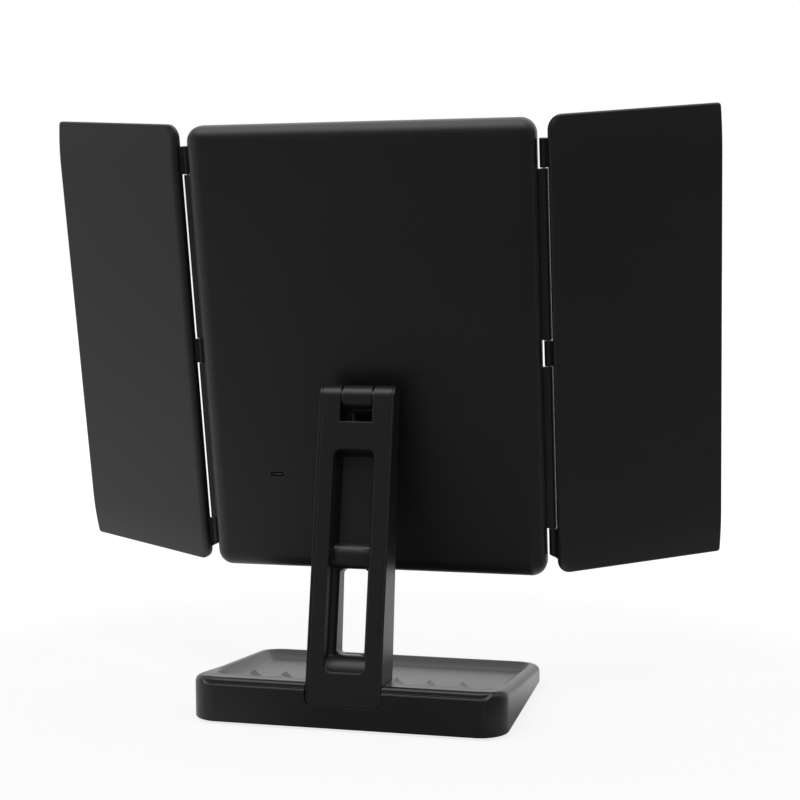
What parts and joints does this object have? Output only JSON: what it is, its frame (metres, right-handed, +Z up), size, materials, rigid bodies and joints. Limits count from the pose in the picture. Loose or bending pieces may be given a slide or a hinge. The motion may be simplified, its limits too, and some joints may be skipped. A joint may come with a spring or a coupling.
{
  "type": "trifold vanity mirror",
  "caption": "Tabletop trifold vanity mirror: lit centre panel with folding mirror wings, tilting on a slotted arm over a grooved tray base.",
  "frame": {"origin": "middle of the tray base on the table, under the bottoms of the feet", "axes": "+Z up, the mirror looks towards -Y, the arm stands at +Y, +X is to the right of a person looking at the mirror's front"},
  "size_m": [0.4419, 0.154, 0.3823],
  "materials": {
    "black_plastic": "semi-matte moulded black",
    "dark_plastic": "matte moulded, near black",
    "steel": "zinc plated",
    "ballast": "bare casting",
    "rubber": "soft matte",
    "mirror": "silvered glass",
    "diffuser": "frosted white",
    "board": "green circuit board",
    "led": "white circuit board",
    "cell": "foil pouch",
    "lens": "clear moulded"
  },
  "bodies": {
    "stand": {"base_housing": "black_plastic", "base_tray": "black_plastic", "base_bottom_plate": "dark_plastic", "ballast_left": "ballast", "ballast_right": "ballast", "foot_front_left": "rubber", "foot_front_right": "rubber", "foot_rear_left": "rubber", "foot_rear_right": "rubber", "base_screw_front_left": "steel", "base_screw_front_right": "steel", "base_screw_rear_left": "steel", "base_screw_rear_right": "steel", "arm_front_shell": "black_plastic", "arm_rear_cover": "black_plastic", "arm_screw_left": "steel", "arm_screw_right": "steel", "tilt_shaft": "steel", "tilt_nut": "steel", "friction_washer_left": "steel", "friction_washer_right": "steel", "hinge_cap_left": "black_plastic", "hinge_cap_right": "black_plastic"},
    "panel": {"tilt_bracket": "black_plastic", "bracket_screw_1": "steel", "bracket_screw_2": "steel", "bracket_screw_3": "steel", "bracket_screw_4": "steel", "panel_rear_cover": "black_plastic", "panel_front_frame": "black_plastic", "centre_mirror": "mirror", "left_diffuser": "diffuser", "right_diffuser": "diffuser", "left_led_board": "led", "right_led_board": "led", "control_board": "board", "usb_socket": "steel", "indicator_lens": "lens", "battery_cell": "cell", "button_switch": "dark_plastic", "button_board": "board", "left_hinge_pin": "steel", "right_hinge_pin": "steel"},
    "left_wing": {"left_wing_cover": "black_plastic", "left_wing_bezel": "black_plastic", "left_wing_mirror": "mirror"},
    "right_wing": {"right_wing_cover": "black_plastic", "right_wing_bezel": "black_plastic", "right_wing_mirror": "mirror"},
    "button": {"power_button": "dark_plastic"}
  },
  "joints": [
    {"name": "panel_tilt", "type": "hinge", "parent": "stand", "child": "panel", "pos_m": [0, 0.02922, 0.20099], "axis": [-1, 0, 0], "range_deg": [-16, 50]},
    {"name": "left_wing_fold", "type": "hinge", "parent": "panel", "child": "left_wing", "pos_m": [0.1149, 0.00151, 0.22812], "axis": [0, -0.1736, -0.9848], "range_deg": [-25, 152.5]},
    {"name": "right_wing_fold", "type": "hinge", "parent": "panel", "child": "right_wing", "pos_m": [-0.1149, 0.00151, 0.22812], "axis": [0, 0.1736, 0.9848], "range_deg": [-28.5, 149]},
    {"name": "power_press", "type": "slide", "parent": "panel", "child": "button", "axis": [0, 0.9848, -0.1736], "range_m": [0, 0.0006], "stiffness_N_per_m": 600}
  ]
}
